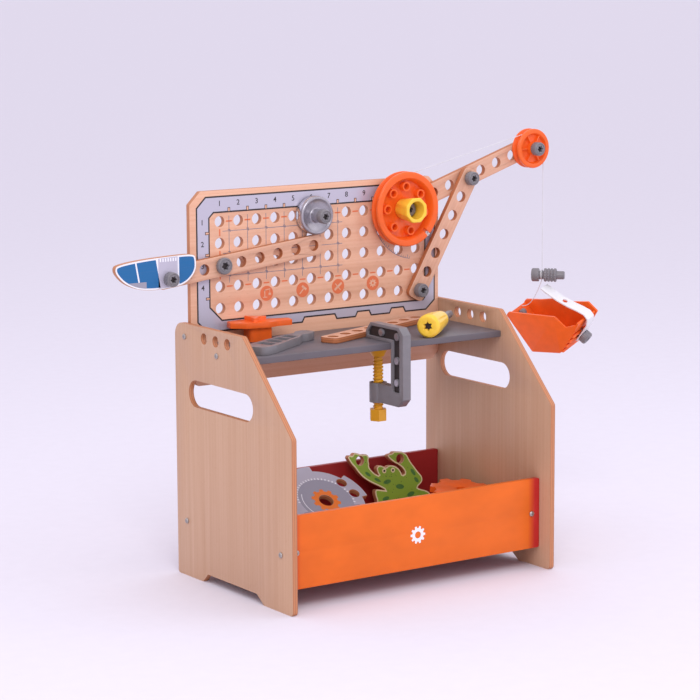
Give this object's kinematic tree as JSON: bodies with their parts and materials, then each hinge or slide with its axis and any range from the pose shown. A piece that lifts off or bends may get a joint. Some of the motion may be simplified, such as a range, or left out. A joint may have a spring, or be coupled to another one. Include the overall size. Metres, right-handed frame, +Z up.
{
  "type": "toy workbench",
  "caption": "Toy workbench of plywood with a pegboard, a worktop and a toy box, a string crane with a bucket, a swinging arm, a roller, a screw clamp and loose tools.",
  "frame": {"origin": "bottom centre of the bounding box, on the floor under the feet", "axes": "+X to the right along the pegboard, towards the crane; +Y from the open front to the pegboard; +Z up"},
  "size_m": [0.6498, 0.25, 0.495],
  "materials": {
    "blue_print": "plywood, printed blue and white",
    "board_print": "plywood, printed on its front",
    "green_print": "plywood, printed green",
    "grey_plastic": "satin",
    "grey_print": "plywood, printed grey, white and orange",
    "orange_paint": "orange satin paint on board",
    "orange_plastic": "satin",
    "plywood": "clear-varnished beech plywood",
    "red_paint": "dark red paint on board",
    "screw_steel": "plain",
    "string": "braided string",
    "white_plastic": "flexible, satin",
    "worktop_grey": "dark grey painted board",
    "yellow_plastic": "satin"
  },
  "bodies": {
    "bench": {"arm_bolt": "grey_plastic", "arm_nut": "grey_plastic", "boom": "plywood", "box_floor": "red_paint", "box_front_panel": "orange_paint", "box_left_screw": "screw_steel", "box_rear_panel": "red_paint", "box_right_screw": "screw_steel", "clamp_frame": "grey_plastic", "hoist_string": "string", "left_board_screw": "screw_steel", "left_front_screw": "screw_steel", "left_rear_screw": "screw_steel", "left_side_panel": "plywood", "left_worktop_screw": "screw_steel", "pegboard": "board_print", "pulley_bolt": "grey_plastic", "pulley_nut": "grey_plastic", "right_board_screw": "screw_steel", "right_front_screw": "screw_steel", "right_rear_screw": "screw_steel", "right_side_panel": "plywood", "right_worktop_screw": "screw_steel", "roller_bolt": "grey_plastic", "roller_nut": "grey_plastic", "strut": "plywood", "strut_foot_bolt": "grey_plastic", "strut_foot_nut": "grey_plastic", "strut_top_bolt": "grey_plastic", "strut_top_nut": "grey_plastic", "winch_bolt": "grey_plastic", "winch_nut": "grey_plastic", "worktop": "worktop_grey"},
    "winch": {"winch_wheel": "orange_plastic", "winch_knob": "yellow_plastic"},
    "pulley": {"pulley": "orange_plastic"},
    "line": {"drop_string": "string"},
    "hook": {"hanger_bolt": "grey_plastic", "hanger_nut": "grey_plastic", "bucket": "orange_plastic", "bucket_strap": "white_plastic", "bucket_strap_bolt": "grey_plastic", "bucket_lip_pin": "grey_plastic", "bucket_string": "string"},
    "arm": {"arm_strip": "plywood", "shuttle_bolt": "grey_plastic", "shuttle_nut": "grey_plastic"},
    "shuttle": {"shuttle": "blue_print"},
    "roller": {"roller": "grey_plastic"},
    "clamp_pad": {"clamp_pad": "yellow_plastic"},
    "clamp_screw": {"clamp_screw": "yellow_plastic"},
    "screwdriver": {"screwdriver_handle": "yellow_plastic", "screwdriver_shaft": "grey_plastic"},
    "spanner": {"spanner": "grey_plastic"},
    "loose_strip": {"loose_strip": "plywood"},
    "connector": {"connector_block": "orange_plastic"},
    "frog": {"frog": "green_print"},
    "plate": {"round_plate": "grey_print"},
    "gear": {"box_gear": "orange_plastic"}
  },
  "joints": [
    {"name": "winch_turn", "type": "hinge", "parent": "bench", "child": "winch", "pos_m": [0.06893, 0.07947, 0.4082], "axis": [0, -1, 0], "range_deg": [-281, 118]},
    {"name": "pulley_turn", "type": "hinge", "parent": "bench", "child": "pulley", "pos_m": [0.25881, 0.07947, 0.471], "axis": [0, -1, 0], "range_deg": [-552, 232]},
    {"name": "line_swing", "type": "hinge", "parent": "bench", "child": "line", "pos_m": [0.27856, 0.07947, 0.471], "axis": [0, 1, 0], "range_deg": [-20, 8]},
    {"name": "hoist", "type": "slide", "parent": "line", "child": "hook", "axis": [0, 0, 1], "range_m": [-0.1905, 0.0805], "deforming": ["drop_string"]},
    {"name": "arm_pivot", "type": "hinge", "parent": "bench", "child": "arm", "pos_m": [-0.18107, 0.08997, 0.3582], "axis": [0, 1, 0], "range_deg": [-0.2, 24]},
    {"name": "shuttle_pivot", "type": "hinge", "parent": "arm", "child": "shuttle", "pos_m": [-0.25557, 0.08327, 0.3496], "axis": [0, 1, 0], "range_deg": [-90, 120]},
    {"name": "roller_spin", "type": "hinge", "parent": "bench", "child": "roller", "pos_m": [-0.05607, 0.07947, 0.4082], "axis": [0, -1, 0], "continuous": true},
    {"name": "clamp_lift", "type": "slide", "parent": "bench", "child": "clamp_pad", "axis": [0, 0, 1], "range_m": [-0.02, 0]},
    {"name": "clamp_turn", "type": "hinge", "parent": "clamp_pad", "child": "clamp_screw", "pos_m": [-0.02577, 0.00117, 0.23], "axis": [0, 0, 1], "range_deg": [-1806, 6]},
    {"name": "screwdriver_lift", "type": "slide", "parent": "bench", "child": "screwdriver", "axis": [0, 0, 1], "range_m": [0, 0.12]},
    {"name": "spanner_lift", "type": "slide", "parent": "bench", "child": "spanner", "axis": [0, 0, 1], "range_m": [0, 0.08]},
    {"name": "strip_lift", "type": "slide", "parent": "bench", "child": "loose_strip", "axis": [0, 0, 1], "range_m": [0, 0.015]},
    {"name": "connector_lift", "type": "slide", "parent": "bench", "child": "connector", "axis": [0, 0, 1], "range_m": [0, 0.02]},
    {"name": "frog_lift", "type": "slide", "parent": "bench", "child": "frog", "axis": [0, 0, 1], "range_m": [0, 0.09]},
    {"name": "plate_lift", "type": "slide", "parent": "bench", "child": "plate", "axis": [0, 0, 1], "range_m": [0, 0.06]},
    {"name": "gear_lift", "type": "slide", "parent": "bench", "child": "gear", "axis": [0, 0, 1], "range_m": [0, 0.1]}
  ],
  "couplings": [
    {"joint": "pulley_turn", "follows": "winch_turn", "ratio": 1.962},
    {"joint": "hoist", "follows": "winch_turn", "m_per_rad": 0.03875},
    {"joint": "clamp_turn", "follows": "clamp_lift", "rad_per_m": 1570.8}
  ]
}
